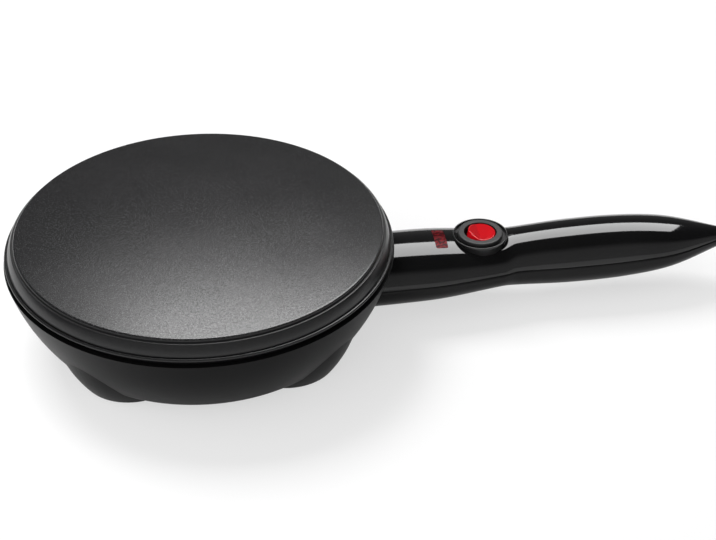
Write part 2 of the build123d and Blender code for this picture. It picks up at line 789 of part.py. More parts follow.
with BuildPart() as terminals:
    # Knife edge under the lever, then a contact either side, all with a tab below the housing
    with BuildSketch(switch_section):
        with BuildLine():
            Polyline(
                (-tab_thickness / 2, housing_bottom - tab_drop),
                (tab_thickness / 2, housing_bottom - tab_drop),
                (tab_thickness / 2, lever_height - 2 * lever_bead_radius),
                (0, lever_height - lever_bead_radius - contact_gap),
                (-tab_thickness / 2, lever_height - 2 * lever_bead_radius),
                close=True,
            )
        make_face()
    extrude(amount=tab_width / 2, both=True)
    with BuildSketch(Plane((switch_x, 0, housing_bottom - tab_drop))):
        with GridLocations(2 * contact_reach, 0, 2, 1):
            Rectangle(tab_thickness, tab_width)
    extrude(amount=contact_top - contact_height - housing_bottom + tab_drop)
    with BuildSketch(Plane((switch_x, 0, contact_top - contact_height))):
        with GridLocations(2 * contact_reach, 0, 2, 1):
            RegularPolygon(contact_radius, 8)
    extrude(amount=contact_height)

with BuildPart() as switch_housing:
    with BuildSketch(Plane((switch_x, 0, deck_height))):
        Circle(bezel_radius)
    extrude(amount=bezel_top - deck_height)
    fillet(switch_housing.faces().sort_by(Axis.Z)[-1].edges(), lip_width)
    with BuildSketch(Plane((switch_x, 0, housing_bottom))):
        Circle(switch_body_radius)
    extrude(amount=switch_body_depth)
    with BuildSketch(Plane((switch_x, 0, housing_bottom + housing_floor))):
        Circle(well_radius)
    extrude(amount=bezel_top - housing_bottom, mode=Mode.SUBTRACT)
    # Snap wings under the deck, fore and aft
    wing_top = axis_z(switch_run) + ridge_half_height - handle_wall - 2 * fit_gap
    with BuildSketch(switch_section):
        for side in (-1, 1):
            with BuildLine():
                Polyline(
                    (side * (switch_body_radius - fit_gap), wing_top),
                    (side * (switch_body_radius + wing_reach), wing_top),
                    (side * (switch_body_radius - fit_gap), wing_top - wing_height),
                    close=True,
                )
            make_face()
    extrude(amount=wing_height / 2, both=True)
    with BuildSketch(Plane((switch_x, 0, pivot_height), z_dir=(0, 1, 0))):
        Circle(pivot_pin_radius + pivot_fit)
    extrude(amount=bezel_radius, both=True, mode=Mode.SUBTRACT)
    add(terminals.part, mode=Mode.SUBTRACT)
save(switch_housing.part, "switch_housing")
save(terminals.part, "switch_terminals")

# The rocker rests with its grip side pressed: turned half its throw about the cross pin
rocker_tilt = radians(rocker_throw / 2)
rocker_plane = Plane(
    origin=(switch_x, 0, pivot_height),
    x_dir=(cos(rocker_tilt), 0, -sin(rocker_tilt)),
    z_dir=(sin(rocker_tilt), 0, cos(rocker_tilt)),
)
rocker_section = Plane(origin=rocker_plane.origin, x_dir=rocker_plane.x_dir, z_dir=(0, -1, 0))
plunger_tip = lever_drop - lever_bead_radius - plunger_gap
with BuildPart() as rocker_button:
    facet_rise = tan(rocker_tilt)
    with BuildSketch(rocker_plane.offset(-rocker_skirt)):
        Ellipse(rocker_half_length, rocker_half_width)
    extrude(amount=rocker_skirt + 2 * rocker_top)
    # Hollow from below, apart from the plunger's guide and the pins' web
    with BuildSketch(rocker_plane.offset(-rocker_skirt)):
        Ellipse(rocker_half_length - holder_wall, rocker_half_width - holder_wall)
        Rectangle(4 * plunger_radius, 2 * rocker_half_width, mode=Mode.SUBTRACT)
    extrude(amount=rocker_skirt + rocker_top / 2, mode=Mode.SUBTRACT)
    with BuildSketch(rocker_plane.offset(-plunger_guide_drop)):
        Circle(2 * plunger_radius)
    extrude(amount=plunger_guide_drop - rocker_skirt)
    with BuildSketch(rocker_plane.offset(-plunger_guide_drop)):
        Circle(plunger_bore_radius)
    extrude(amount=plunger_guide_drop + rocker_top / 2, mode=Mode.SUBTRACT)
    # Two facets that meet in a shallow valley
    with BuildSketch(rocker_section):
        with BuildLine():
            valley = (-valley_offset, rocker_top)
            left = (-valley_offset - rocker_half_width, rocker_top + rocker_half_width * facet_rise)
            right = (2 * rocker_half_width, rocker_top + (2 * rocker_half_width + valley_offset) * facet_rise)
            Polyline(left, valley, right)
            Polyline(right, (right[0], 3 * rocker_top), (left[0], 3 * rocker_top), left)
        make_face()
    extrude(amount=bezel_radius, both=True, mode=Mode.SUBTRACT)
    for side in (-1, 1):
        pin_start = rocker_half_width - holder_wall
        pin_plane = Plane((switch_x, side * pin_start, pivot_height), z_dir=(0, side, 0))
        with BuildSketch(pin_plane):
            Circle(pivot_pin_radius)
        extrude(amount=switch_body_radius - fit_gap - pin_start)
save(rocker_button.part, "rocker_button")

with BuildPart() as rocker_plunger:
    with BuildSketch(rocker_plane.offset(plunger_radius - plunger_tip)):
        Circle(plunger_radius)
    extrude(amount=plunger_length - plunger_radius)
    with Locations(rocker_plane.offset(plunger_radius - plunger_tip)):
        Sphere(plunger_radius)
save(rocker_plunger.part, "rocker_plunger")

spring_start = plunger_length - plunger_tip + spring_wire
spring_end = rocker_top / 2 - spring_wire
spring_radius = plunger_radius - spring_wire
coil_steps = 8 * spring_turns
with BuildPart() as plunger_spring:
    with BuildLine(rocker_plane):
        coil = Polyline(
            [
                (
                    spring_radius * cos(step * pi / 4),
                    spring_radius * sin(step * pi / 4),
                    spring_start + (spring_end - spring_start) * step / coil_steps,
                )
                for step in range(coil_steps + 1)
            ]
        )
    with BuildSketch(Plane(coil @ 0, z_dir=coil % 0)):
        Rectangle(spring_wire, spring_wire)
    sweep(transition=Transition.RIGHT)
save(plunger_spring.part, "plunger_spring")

# See-saw contact on the knife edge, at rest down on the plate's side
lever_tilt = radians(lever_throw / 2)
lever_plane = Plane(
    origin=(switch_x, 0, lever_height),
    x_dir=(cos(lever_tilt), 0, sin(lever_tilt)),
    z_dir=(-sin(lever_tilt), 0, cos(lever_tilt)),
)
with BuildPart() as contact_lever:
    with BuildSketch(lever_plane.offset(-lever_thickness / 2)):
        Rectangle(2 * lever_half_length, lever_width)
    extrude(amount=lever_thickness)
    with BuildSketch(lever_plane.offset(-lever_thickness / 2)):
        with GridLocations(2 * contact_reach, 0, 2, 1):
            RegularPolygon(contact_radius, 8)
    extrude(amount=-contact_height)
    with BuildSketch(Plane(lever_plane.origin, z_dir=(0, 1, 0))):
        Circle(lever_bead_radius)
    extrude(amount=lever_width / 2, both=True)
save(contact_lever.part, "contact_lever")

# ---------------------------------------------------------------- indicator lamp
holder_floor = axis_z(lamp_run) + neck_half_height - handle_wall - holder_height
with BuildPart() as lamp_lens:
    with BuildSketch(Plane((lamp_x, 0, holder_floor))):
        RectangleRounded(
            window_width - 2 * lens_gap,
            window_length - 2 * lens_gap,
            window_width / 6,
        )
    extrude(amount=body_radius)
    add(handle_form(), mode=Mode.INTERSECT)
    add(handle_form(handle_wall), mode=Mode.SUBTRACT)
save(lamp_lens.part, "lamp_lens")

with BuildPart() as lamp_holder:
    with BuildSketch(Plane((lamp_x, 0, holder_floor))):
        Rectangle(window_width + 2 * holder_wall, window_length + 2 * holder_wall)
    extrude(amount=body_radius)
    with BuildSketch(Plane((lamp_x, 0, holder_floor + holder_wall))):
        Rectangle(window_width, window_length)
    extrude(amount=body_radius, mode=Mode.SUBTRACT)
    add(handle_form(handle_wall), mode=Mode.INTERSECT)
save(lamp_holder.part, "lamp_holder")

with BuildPart() as neon_lamp:
    neon_height = holder_floor + holder_wall + neon_radius
    with BuildSketch(Plane((lamp_x, -neon_length / 2, neon_height), z_dir=(0, 1, 0))):
        Circle(neon_radius)
    extrude(amount=neon_length)
save(neon_lamp.part, "neon_lamp")

# ---------------------------------------------------------------- cord inlet
flange_start = handle_run - bush_flange_thickness
bush_start = flange_start - bush_length
with BuildPart() as cord_bush:
    add(cord_hole(bush_radius, bush_start, handle_run))
    add(cord_hole(bush_flange_radius, flange_start, handle_run))
    add(cord_hole(cord_bore_radius, bush_start, handle_run), mode=Mode.SUBTRACT)
save(cord_bush.part, "cord_bush")

# ---------------------------------------------------------------- screws from below
with BuildPart() as handle_screws:
    for run in handle_screw_runs:
        head_height = axis_z(run) + seam_rise - handle_screw_length / 2
        with BuildSketch(Plane((rim_x + run, 0, head_height - handle_head_height))):
            RegularPolygon(handle_head_radius, 12)
        extrude(amount=handle_head_height)
        with BuildSketch(Plane((rim_x + run, 0, head_height))):
            RegularPolygon(handle_screw_radius, 8)
        extrude(amount=handle_screw_length)
save(handle_screws.part, "handle_screws")

with BuildPart() as handle_root_screws:
    head_height = bowl_floor_height + handle_head_height
    with BuildSketch(root_plane.offset(head_height - handle_head_height)):
        with root_screw_places():
            RegularPolygon(handle_head_radius, 12)
    extrude(amount=handle_head_height)
    with BuildSketch(root_plane.offset(head_height)):
        with root_screw_places():
            RegularPolygon(handle_screw_radius, 8)
    extrude(amount=root_screw_length - handle_head_height)
save(handle_root_screws.part, "handle_root_screws")

# ---------------------------------------------------------------- terminal block and wires
block_x = rim_x + block_run
with BuildPart() as terminal_block:
    with BuildSketch(Plane((block_x, 0, block_floor))):
        Rectangle(block_length, block_width)
    extrude(amount=block_height)
    with BuildSketch(Plane((block_x, 0, block_floor + block_height))):
        with GridLocations(0, block_width / 3, 1, 3):
            Rectangle(block_length, block_rib / 2)
    extrude(amount=-block_rib, mode=Mode.SUBTRACT)
save(terminal_block.part, "terminal_block")

# Mains wires: low past the switch, over the handle's root, then into the bowl
block_face = block_x - block_length / 2
block_side = block_width / 3
block_entry = block_floor + block_height / 2
run_height = housing_bottom - tab_drop + wire_radius + 0.4
first_tab = switch_x - contact_reach - tab_thickness / 2
last_tab = switch_x + contact_reach + tab_thickness / 2
root_height = axis_z(root_run)
element_x = plate_x + leg_x
element_tab_end = leg_end - terminal_bead_length / 2 - 1.5 * terminal_pin_length
bowl_run_height = element_tab_end - wire_tab_drop
thermostat_tab_end = cap_bottom - thermostat_body_height - terminal_pin_length
thermostat_tab_y = thermostat_radius / 2
wire_routes = {
    "live_wire": [
        (block_face, -block_side, block_entry),
        (block_face - 4 * wire_radius, -block_side, block_entry),
        (last_tab + 8 * wire_radius, -block_side, run_height),
        (last_tab + 3 * wire_radius, 0, run_height),
        (last_tab, 0, run_height),
    ],
    "switched_wire": [
        (first_tab, 0, run_height),
        (first_tab - 3 * wire_radius, 0, run_height),
        (first_tab - 8 * wire_radius, -block_side, run_height),
        (rim_x + root_run, -block_side, root_height),
        (element_x, -leg_y, bowl_run_height),
        (element_x, -leg_y, element_tab_end),
    ],
    "neutral_wire": [
        (block_face, block_side, block_entry),
        (block_face - 4 * wire_radius, block_side, block_entry),
        (last_tab + 8 * wire_radius, block_side, run_height),
        (first_tab - 8 * wire_radius, block_side, run_height),
        (rim_x + root_run, block_side, root_height),
        (element_x, block_side, bowl_run_height),
        (plate_x, thermostat_tab_y, bowl_run_height),
        (plate_x, thermostat_tab_y, thermostat_tab_end),
    ],
}
for name, route in wire_routes.items():
    with BuildPart() as wire:
        with BuildLine():
            path = Polyline(route)
        with BuildSketch(Plane(path @ 0, z_dir=path % 0)):
            RegularPolygon(wire_radius, 6)
        sweep(transition=Transition.RIGHT)
    save(wire.part, name)
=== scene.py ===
"""Table-top crepe maker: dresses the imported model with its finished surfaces, studio and camera."""
import json
from functools import partial
from math import asin, cos, pi, radians, sin, sqrt

import bmesh
import bpy
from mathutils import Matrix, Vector

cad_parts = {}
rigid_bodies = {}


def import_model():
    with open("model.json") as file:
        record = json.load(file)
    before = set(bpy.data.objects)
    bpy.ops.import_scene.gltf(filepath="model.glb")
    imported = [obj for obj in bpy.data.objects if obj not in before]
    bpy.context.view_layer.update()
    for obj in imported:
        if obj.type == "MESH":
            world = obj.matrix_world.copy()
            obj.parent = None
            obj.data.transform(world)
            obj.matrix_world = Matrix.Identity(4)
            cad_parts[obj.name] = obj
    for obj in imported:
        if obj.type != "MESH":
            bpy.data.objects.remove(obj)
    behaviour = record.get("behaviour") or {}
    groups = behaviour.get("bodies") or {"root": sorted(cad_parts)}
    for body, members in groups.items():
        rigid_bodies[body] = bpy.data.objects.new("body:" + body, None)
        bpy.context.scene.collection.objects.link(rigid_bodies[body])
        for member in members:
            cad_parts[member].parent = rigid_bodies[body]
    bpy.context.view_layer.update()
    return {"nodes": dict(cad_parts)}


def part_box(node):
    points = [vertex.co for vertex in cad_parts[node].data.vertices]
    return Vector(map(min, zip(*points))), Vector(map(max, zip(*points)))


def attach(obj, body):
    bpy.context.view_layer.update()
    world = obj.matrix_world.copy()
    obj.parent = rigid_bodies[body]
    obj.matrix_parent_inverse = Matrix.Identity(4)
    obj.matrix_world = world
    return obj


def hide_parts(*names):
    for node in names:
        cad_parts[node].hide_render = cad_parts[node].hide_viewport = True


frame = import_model()

# ------------------------------------------------------------------ baking plate
# One aluminium casting, turned on its rim and sprayed with a charcoal non-stick coating that
# holds fine metal flakes. Under the skin are the heater's rib and the bosses for the screws.
MM = 0.001
plate_low, plate_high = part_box("baking_plate")
plate_x = (plate_low.x + plate_high.x) / 2
plate_top = plate_high.z
dome_rise = 4.0 * MM
surface_radius = 93.5 * MM
surface_height = plate_top - dome_rise
edge_roll = 1.2 * MM
ledge_reach = surface_radius + 2.2 * MM
ledge_height = surface_height - 1.95 * MM
ledge_round = 0.5 * MM
ledge_corner_run = 0.2 * MM
ledge_corner_rise = 0.15 * MM
ledge_corner_dip = 0.05 * MM
rim_radius = (plate_high.y - plate_low.y) / 2
rim_foot = surface_height - 8.2 * MM
rim_wall = 2.4 * MM
rim_round = 0.35 * MM
slope_top_inset, slope_top_rise = 1.35 * MM, 4.75 * MM
slope_foot_inset, slope_foot_rise = 0.6 * MM, 2.5 * MM
plate_skin = 3.0 * MM
rib_reach = 74.0 * MM
rib_half_width = 5.5 * MM
rib_foot = surface_height - 8.0 * MM
sensor_boss_radius = 16.0 * MM
sensor_boss_foot = surface_height - 3.0 * MM
clamp_reach = 62.0 * MM
clamp_boss_radius = 5.0 * MM
plate_segments = 288
boss_segments = 32
fold_angle = 32
scene_objects = bpy.context.scene.collection.objects


def arc_points(centre, radius, start, end, steps):
    """Points of an arc in the (reach, height) half-plane, angles in degrees."""
    turns = [radians(start + (end - start) * n / steps) for n in range(steps + 1)]
    return [(centre[0] + radius * cos(a), centre[1] + radius * sin(a)) for a in turns]


def full_turn(steps):
    """Angles of evenly spaced places round a full turn."""
    return [2 * pi * n / steps for n in range(steps)]


def cylinder_outline(radius, start, end):
    """A plain cylinder's (reach, height) outline between two heights."""
    return [(0, start), (radius, start), (radius, end), (0, end)]


def join_rings(shape, lower, upper):
    """Adds the faces between two closed rings that have as many points."""
    for n in range(len(lower)):
        after = (n + 1) % len(lower)
        shape.faces.new((lower[n], lower[after], upper[after], upper[n]))


def turn_outline(shape, outline, centre, segments):
    """Adds a closed ring or disc, turned about an upright axis from its (reach, height) outline."""
    rings = []
    for reach, height in outline:
        spots = [(centre[0] + reach * cos(a), centre[1] + reach * sin(a)) for a in full_turn(segments)]
        if reach == 0:
            spots = [centre]
        rings.append([shape.verts.new((x, y, height)) for x, y in spots])
    for lower, upper in zip(rings, rings[1:] + rings[:1]):
        if len(lower) == len(upper) == segments:
            join_rings(shape, lower, upper)
        elif len(lower) == segments:
            for n in range(segments):
                shape.faces.new((lower[n], lower[(n + 1) % segments], upper[0]))
        elif len(upper) == segments:
            for n in range(segments):
                shape.faces.new((lower[0], upper[(n + 1) % segments], upper[n]))


def smooth_shade(mesh, angle=fold_angle):
    """Smooth shading with sharp edges where two faces meet at more than the angle, in degrees."""
    mesh.polygons.foreach_set("use_smooth", [True] * len(mesh.polygons))
    shape = bmesh.new()
    shape.from_mesh(mesh)
    for edge in shape.edges:
        edge.smooth = len(edge.link_faces) == 2 and edge.calc_face_angle(0) < radians(angle)
    shape.to_mesh(mesh)
    shape.free()


def finished_piece(name, shape, angle=fold_angle):
    """Links a closed mesh as a piece at the origin, faces outwards, smooth up to an angle."""
    bmesh.ops.recalc_face_normals(shape, faces=shape.faces)
    mesh = bpy.data.meshes.new(name)
    shape.to_mesh(mesh)
    shape.free()
    piece = bpy.data.objects.new(name, mesh)
    scene_objects.link(piece)
    smooth_shade(mesh, angle)
    return piece


dome_curve = (surface_radius**2 + dome_rise**2) / (2 * dome_rise)
dome_steps = 48
dome = []
for n in range(dome_steps):
    reach = surface_radius * n / dome_steps
    dome.append((reach, plate_top - dome_curve + sqrt(dome_curve**2 - reach**2)))
roll_reach = surface_radius + edge_roll
outside = [
    *dome,
    *arc_points((surface_radius, surface_height - edge_roll), edge_roll, 90, 0, steps=10),
    (roll_reach, ledge_height + ledge_corner_rise),
    (roll_reach + ledge_corner_run, ledge_height - ledge_corner_dip),
    *arc_points((ledge_reach, ledge_height - ledge_round), ledge_round, 95, 30, steps=8),
    (rim_radius - slope_top_inset, rim_foot + slope_top_rise),
    (rim_radius - slope_foot_inset, rim_foot + slope_foot_rise),
    *arc_points((rim_radius - rim_round, rim_foot + rim_round), rim_round, 0, -90, steps=6),
]
skin_slope = dome_rise / surface_radius
rib_outer = rib_reach + rib_half_width
rib_inner = rib_reach - rib_half_width
underside = [
    (rim_radius - rim_wall, rim_foot),
    (surface_radius - plate_skin / 2, surface_height - plate_skin),
    (rib_outer, plate_top - plate_skin - rib_outer * skin_slope),
    (rib_outer, rib_foot),
    (rib_inner, rib_foot),
    (rib_inner, plate_top - plate_skin - rib_inner * skin_slope),
    (sensor_boss_radius, plate_top - plate_skin - sensor_boss_radius * skin_slope),
    (sensor_boss_radius, sensor_boss_foot),
    (0, sensor_boss_foot),
]
corner_turns = [radians(45 + 90 * quarter) for quarter in range(4)]
clamp_places = [(plate_x + clamp_reach * cos(a), clamp_reach * sin(a)) for a in corner_turns]
casting = bmesh.new()
turn_outline(casting, outside + underside, (plate_x, 0), plate_segments)
for boss_place in clamp_places:
    boss_outline = cylinder_outline(clamp_boss_radius, surface_height - plate_skin / 3, plate_low.z)
    turn_outline(casting, boss_outline, boss_place, boss_segments)
plate_casting = finished_piece("plate_casting", casting)


def add_node(tree, kind, links=(), **settings):
    """A new node with its settings, each named input given a constant or joined to an output."""
    made = tree.nodes.new(kind)
    for key, value in settings.items():
        setattr(made, key, value)
    for socket, source in dict(links).items():
        if hasattr(source, "is_output"):
            tree.links.new(source, made.inputs[socket])
        else:
            made.inputs[socket].default_value = source
    return made


def new_finish(name):
    """A material, its surface shader's inputs, and functions that add a node and feed an input."""
    material = bpy.data.materials.new(name)
    material.use_nodes = True
    tree = material.node_tree
    surface = tree.nodes["Principled BSDF"].inputs

    def feed(socket, source):
        tree.links.new(source, surface[socket])

    return material, surface, partial(add_node, tree), feed


def noise(node, scale, detail, roughness=0.5):
    """A soft noise fixed to the piece, from 0 to 1."""
    place = node("ShaderNodeTexCoord").outputs["Object"]
    links = {"Vector": place, "Scale": scale, "Detail": detail, "Roughness": roughness}
    return node("ShaderNodeTexNoise", links).outputs["Fac"]


def blend_colours(node, factor, first, second):
    """A mix between two colours, each given as red, green and blue or as a node's output."""
    # Sockets 0, 6 and 7 are the mix's factor and its two colours.
    ends = [end if hasattr(end, "is_output") else (*end, 1) for end in (first, second)]
    return node("ShaderNodeMix", {0: factor, 6: ends[0], 7: ends[1]}, data_type="RGBA").outputs[2]


def rescale(node, value, before, after):
    """A value moved from one range to another and held at its ends."""
    links = {"Value": value, "From Min": before[0], "From Max": before[1]}
    links.update({"To Min": after[0], "To Max": after[1]})
    return node("ShaderNodeMapRange", links).outputs["Result"]


def bump(node, height, strength, depth):
    """The normals of a fine surface relief."""
    links = {"Height": height, "Strength": strength, "Distance": depth}
    return node("ShaderNodeBump", links).outputs["Normal"]


coating, surface, node, feed = new_finish("charcoal_flake_coating")
place = node("ShaderNodeTexCoord").outputs["Object"]
flakes = node("ShaderNodeTexVoronoi", {"Vector": place, "Scale": 1500.0}, feature="F1")
flake_mask = rescale(node, flakes.outputs["Distance"], (0.1, 0.42), (1.0, 0.0))
cloud = noise(node, scale=1000.0, detail=2.0, roughness=0.6)
drift = noise(node, scale=22.0, detail=3.0)
grain = blend_colours(node, cloud, (0.001, 0.001, 0.0013), (0.010, 0.010, 0.0105))
feed("Base Color", blend_colours(node, flake_mask, grain, (0.045, 0.045, 0.047)))
feed("Roughness", rescale(node, drift, (0.3, 0.7), (0.245, 0.275)))
feed("Specular IOR Level", rescale(node, cloud, (0.35, 0.65), (0.37, 0.63)))
feed("Normal", bump(node, cloud, strength=0.25, depth=0.06 * MM))
plate_casting.data.materials.append(coating)
rim_coating, surface, node, feed = new_finish("charcoal_rim_overspray")
cloud = noise(node, scale=700.0, detail=4.0, roughness=0.65)
feed("Base Color", blend_colours(node, cloud, (0.003, 0.003, 0.0034), (0.012, 0.012, 0.0125)))
surface["Roughness"].default_value = 0.3
surface["Specular IOR Level"].default_value = 0.38
feed("Normal", bump(node, cloud, strength=0.5, depth=0.12 * MM))
plate_casting.data.materials.append(rim_coating)
overspray_reach = surface_radius + edge_roll * 0.9
overspray_top = surface_height - plate_skin / 2
for face in plate_casting.data.polygons:
    reach = sqrt((face.center.x - plate_x) ** 2 + face.center.y**2)
    face.material_index = int(reach > overspray_reach or face.center.z < overspray_top)
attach(plate_casting, "body")
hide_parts("baking_plate")

# ------------------------------------------------------------------ collar ring
# A rolled steel ring with a rounded bead, painted satin black and clamped between plate and bowl.
# Its skirt hangs inside the bowl's rim.


def moulded_finish(name, colour, roughness, grain, depth, specular=0.5):
    """A moulded or painted surface: faint cloudiness, a fine grain and slightly uneven gloss."""
    material, surface, node, feed = new_finish(name)
    fine = noise(node, scale=grain, detail=3.0, roughness=0.6)
    broad = noise(node, scale=35.0, detail=2.0)
    darker = [part * 0.8 for part in colour]
    lighter = [min(part * 1.25 + 0.001, 1) for part in colour]
    feed("Base Color", blend_colours(node, broad, darker, lighter))
    feed("Roughness", rescale(node, broad, (0.3, 0.7), (roughness * 0.92, roughness * 1.1)))
    surface["Specular IOR Level"].default_value = specular
    feed("Normal", bump(node, fine, strength=0.4, depth=depth))
    return material


def dress(material, *names):
    """Gives carried-over CAD nodes their finish."""
    for name in names:
        mesh = frame["nodes"][name].data
        mesh.materials.clear()
        mesh.materials.append(material)


satin_black = (0.008, 0.008, 0.0085)
collar_paint = moulded_finish(
    "satin_black_paint", satin_black, roughness=0.3, grain=1800.0, depth=0.02 * MM, specular=0.35
)
dress(collar_paint, "collar_ring")

# ------------------------------------------------------------------ bowl and feet
# The bowl is one heat-resistant moulding, satin black with a faint spark-eroded grain. Four
# rubber pads are pressed into its feet over the clamp screws. The cord's bush is rubber too.
bowl_black = (0.003, 0.003, 0.0032)
bowl_plastic = moulded_finish(
    "satin_black_moulding", bowl_black, roughness=0.36, grain=2200.0, depth=0.02 * MM, specular=0.09
)
dress(bowl_plastic, "base_shell")
rubber_black = (0.022, 0.022, 0.022)
pad_rubber = moulded_finish(
    "pad_rubber", rubber_black, roughness=0.82, grain=900.0, depth=0.08 * MM, specular=0.3
)
dress(pad_rubber, "foot_pads", "cord_bush")

# ------------------------------------------------------------------ handle shells
# Two hollow mouldings that meet on a near-level seam and are screwed together from below.
# Polished tools leave them gloss black. The upper one carries the cup for the switch.
handle_reach = 282.5 * MM
bush_flange = 1.5 * MM
tip_reach = handle_reach - bush_flange
axis_height = 24.8 * MM
axis_slope = 0.0163
root_reach = 102.0 * MM
root_sink = 0.4 * MM
handle_wall = 2.4 * MM
seam_rise = 1.2 * MM
seam_half_gap = 0.13 * MM
seam_round = 0.3 * MM
seam_steepest = 0.95
least_square = 1e-6
bush_radius = 3.9 * MM
# Reach from the plate's axis, half width and half height, in millimetres.
half_sizes = [
    (62.0, 23.6, 17.1),
    (102.0, 23.6, 17.1),
    (126.0, 23.2, 16.3),
    (158.0, 19.3, 13.4),
    (166.0, 17.4, 14.7),
    (196.0, 18.3, 16.4),
    (226.0, 18.0, 16.0),
    (252.0, 15.5, 12.7),
    (281.0, 4.9, 4.9),
]
bowl_curve = 103.5 * MM
bowl_centre_height = 72.6 * MM
corner_radius = 13.0 * MM
corner_height = 19.6 * MM
corner_curve = bowl_curve - corner_radius
corner_depth = bowl_centre_height - corner_height
corner_reach = sqrt(corner_curve**2 - corner_depth**2)
corner_top = bowl_centre_height - corner_depth * bowl_curve / corner_curve


def half_size(reach, column):
    """The handle's half width (column 1) or half height (column 2) at a reach from the plate's axis."""
    at = reach / MM
    count = len(half_sizes)
    k = max(n for n in range(count - 1) if n == 0 or half_sizes[n][0] <= at)
    start, low = half_sizes[k][0], half_sizes[k][column]
    end, high = half_sizes[k + 1][0], half_sizes[k + 1][column]
    before = half_sizes[max(k - 1, 0)]
    after = half_sizes[min(k + 2, count - 1)]
    span = end - start
    t = (at - start) / span
    slope_in = (high - before[column]) / (end - before[0]) * span
    slope_out = (after[column] - low) / (after[0] - start) * span
    rise = low * (1 - t) ** 2 * (1 + 2 * t) + high * t**2 * (3 - 2 * t)
    return (rise + slope_in * t * (1 - t) ** 2 - slope_out * t**2 * (1 - t)) * MM


def axis_z(reach):
    """Height of the handle's axis."""
    return axis_height + (reach - root_reach) * axis_slope


def bowl_reach(height):
    """Radius of the bowl's outside at a height."""
    if height < corner_top:
        return corner_reach + sqrt(max(corner_radius**2 - (corner_height - height) ** 2, 0))
    return sqrt(bowl_curve**2 - (bowl_centre_height - height) ** 2)


def section_point(reach, turn, inset, side):
    """A point of a shell's section: turn runs from 0 to 1 round it, side is 1 for the upper shell."""
    width = max(half_size(reach, 1) - inset, bush_radius)
    height = max(half_size(reach, 2) - inset, bush_radius)
    edge = side * (seam_rise + side * seam_half_gap)
    first = asin(max(min(edge / height, seam_steepest), -seam_steepest))
    angle = first + (pi - 2 * first) * turn
    return (plate_x + reach, -width * cos(angle), axis_z(reach) + side * height * sin(angle))


def handle_shell(name, side):
    """One shell as a closed skin: outside, rounded seam lips and inside, from the bowl to the tip."""
    along = 220
    around = 72
    crowding = 0.12
    first_guess = 100 * MM
    settling_rounds = 6
    turns = []
    for n in range(around + 1):
        eased = (1 - cos(pi * n / around)) / 2
        turns.append(eased * crowding + n / around * (1 - crowding))
    starts = []
    for turn in turns:
        reach = first_guess
        for _ in range(settling_rounds):
            _, y, z = section_point(reach, turn, 0, side)
            reach = sqrt(max(bowl_reach(z) ** 2 - y**2, least_square)) - root_sink
        starts.append(reach)
    shape = bmesh.new()
    rings = []
    for k in range(along + 1):
        reaches = [start + (tip_reach - start) * (k / along) for start in starts]
        ring = []
        for n in range(around + 1):
            lip = 0 if 0 < n < around else seam_round
            ring.append(shape.verts.new(section_point(reaches[n], turns[n], lip, side)))
        for n in range(around, -1, -1):
            ring.append(shape.verts.new(section_point(reaches[n], turns[n], handle_wall, side)))
        rings.append(ring)
    for lower, upper in zip(rings, rings[1:]):
        join_rings(shape, lower, upper)
    last = len(rings[0]) - 1
    for ring in (rings[0], rings[-1]):
        for n in range(around):
            shape.faces.new((ring[n], ring[n + 1], ring[last - 1 - n], ring[last - n]))
    return finished_piece(name, shape)


def carve(piece, tool, operation):
    """Joins a closed tool to a piece or cuts it away, and leaves a plain mesh."""
    change = piece.modifiers.new("carve", "BOOLEAN")
    change.operation = operation
    change.solver = "EXACT"
    change.object = tool
    bpy.context.view_layer.update()
    evaluated = piece.evaluated_get(bpy.context.evaluated_depsgraph_get())
    carved = bpy.data.meshes.new_from_object(evaluated)
    piece.modifiers.clear()
    piece.data = carved
    bpy.data.objects.remove(tool)


def turned_tool(name, outline, centre, segments):
    """A closed turned body to carve with."""
    shape = bmesh.new()
    turn_outline(shape, outline, centre, segments)
    return finished_piece(name, shape)


upper_shell = handle_shell("upper_handle_moulding", 1)
lower_shell = handle_shell("lower_handle_moulding", -1)

switch_x = plate_x + 147.8 * MM
cup_top = 42.0 * MM
cup_radius = 14.5 * MM
cup_foot_height = 34.5 * MM
cup_foot_radius = 12.7 * MM
flank_inset, flank_drop = 0.25 * MM, 1.5 * MM
lip_drop = 0.9 * MM
lip_round = 0.4 * MM
lip_width = 0.8 * MM
deck_height = cup_top - 1.6 * MM
switch_well_radius = 9.9 * MM
switch_well_foot, switch_well_top = 30 * MM, 45 * MM
cup_segments, switch_well_segments = 144, 96
cup_outline = [
    (0, cup_foot_height),
    (cup_foot_radius, cup_foot_height),
    (cup_radius - flank_inset, cup_top - flank_drop),
    (cup_radius, cup_top - lip_drop),
    *arc_points((cup_radius - lip_round, cup_top - lip_round), lip_round, 0, 180, steps=10)[:-1],
    (cup_radius - lip_width, cup_top - lip_round),
    (cup_radius - lip_width, deck_height),
    (0, deck_height),
]
switch_well = cylinder_outline(switch_well_radius, switch_well_foot, switch_well_top)
cup_blank = turned_tool("cup_blank", cup_outline, (switch_x, 0), cup_segments)
carve(upper_shell, cup_blank, "UNION")
switch_hole = turned_tool("switch_hole", switch_well, (switch_x, 0), switch_well_segments)
carve(upper_shell, switch_hole, "DIFFERENCE")

